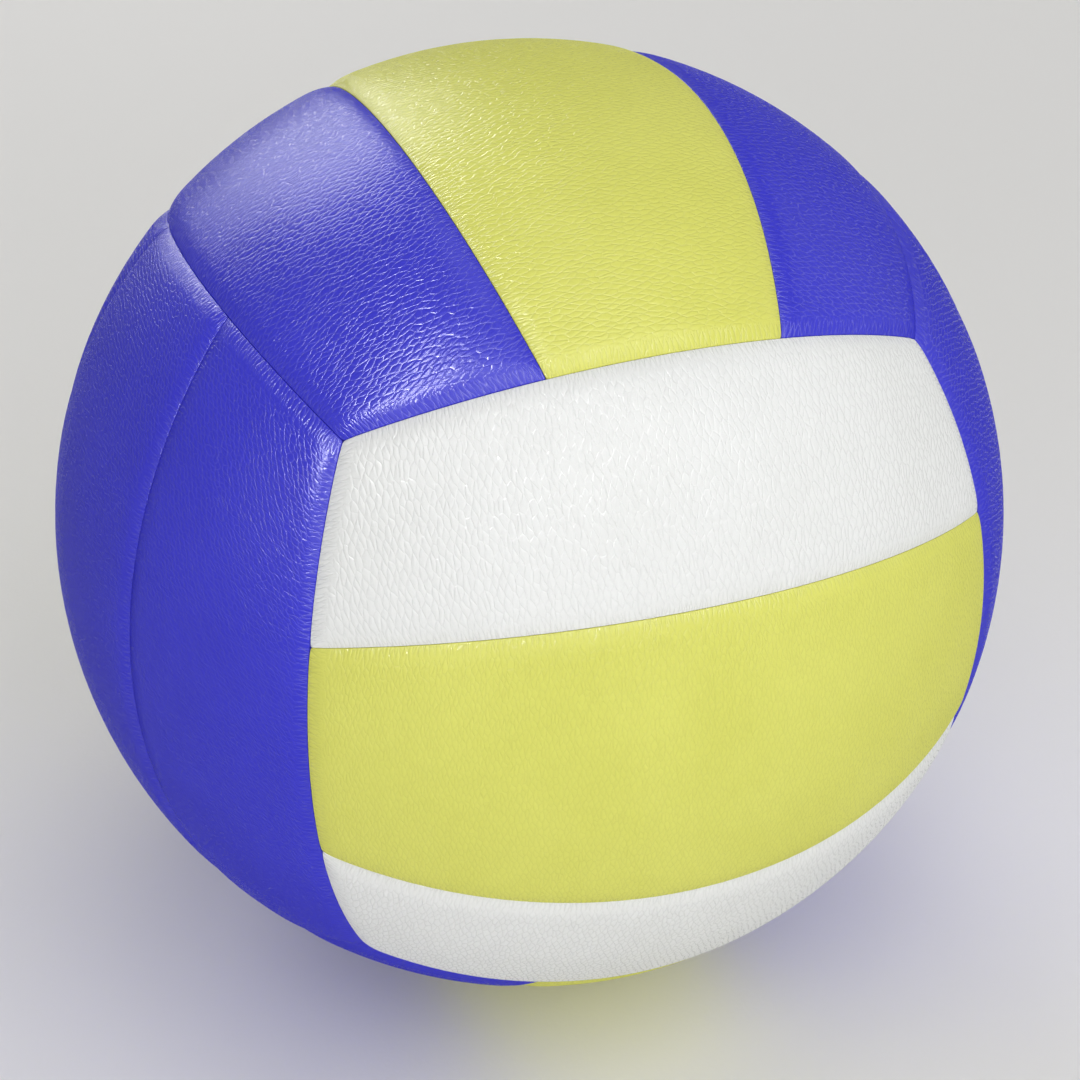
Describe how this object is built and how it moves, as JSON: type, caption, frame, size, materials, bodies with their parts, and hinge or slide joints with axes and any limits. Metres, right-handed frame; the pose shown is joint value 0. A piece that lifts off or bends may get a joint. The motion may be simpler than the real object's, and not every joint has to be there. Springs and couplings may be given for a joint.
{
  "type": "volleyball",
  "caption": "Soft-covered volleyball with parallel strip panels on every face, a rubber carcass and bladder inside, and a needle valve for inflating it.",
  "frame": {"origin": "the ball's centre", "axes": "-Y towards the middle of the front face, whose strips run along X; +Z towards the top face, whose strips run along Y; +Y along the valve, out of the ball"},
  "size_m": [0.21, 0.2099, 0.21],
  "materials": {
    "white_cover": "satin",
    "yellow_cover": "satin",
    "blue_cover": "satin",
    "foam": "matte",
    "carcass_rubber": "matte",
    "thread": "satin",
    "bladder_rubber": "matte",
    "valve_rubber": "matte",
    "core_rubber": "satin"
  },
  "bodies": {
    "root": {"bladder": "bladder_rubber", "winding": "thread", "carcass": "carcass_rubber", "valve_body": "valve_rubber", "valve_core": "core_rubber", "front_lower_pad": "foam", "front_lower_skin": "white_cover", "front_centre_pad": "foam", "front_centre_skin": "yellow_cover", "front_upper_pad": "foam", "front_upper_skin": "white_cover", "back_lower_pad": "foam", "back_lower_skin": "white_cover", "back_centre_pad": "foam", "back_centre_skin": "yellow_cover", "back_upper_pad": "foam", "back_upper_skin": "white_cover", "left_front_pad": "foam", "left_front_skin": "blue_cover", "left_centre_pad": "foam", "left_centre_skin": "blue_cover", "left_back_pad": "foam", "left_back_skin": "blue_cover", "right_front_pad": "foam", "right_front_skin": "blue_cover", "right_centre_pad": "foam", "right_centre_skin": "blue_cover", "right_back_pad": "foam", "right_back_skin": "blue_cover", "top_left_pad": "foam", "top_left_skin": "blue_cover", "top_centre_pad": "foam", "top_centre_skin": "yellow_cover", "top_right_pad": "foam", "top_right_skin": "blue_cover", "bottom_left_pad": "foam", "bottom_left_skin": "blue_cover", "bottom_centre_pad": "foam", "bottom_centre_skin": "yellow_cover", "bottom_right_pad": "foam", "bottom_right_skin": "blue_cover"}
  },
  "joints": []
}
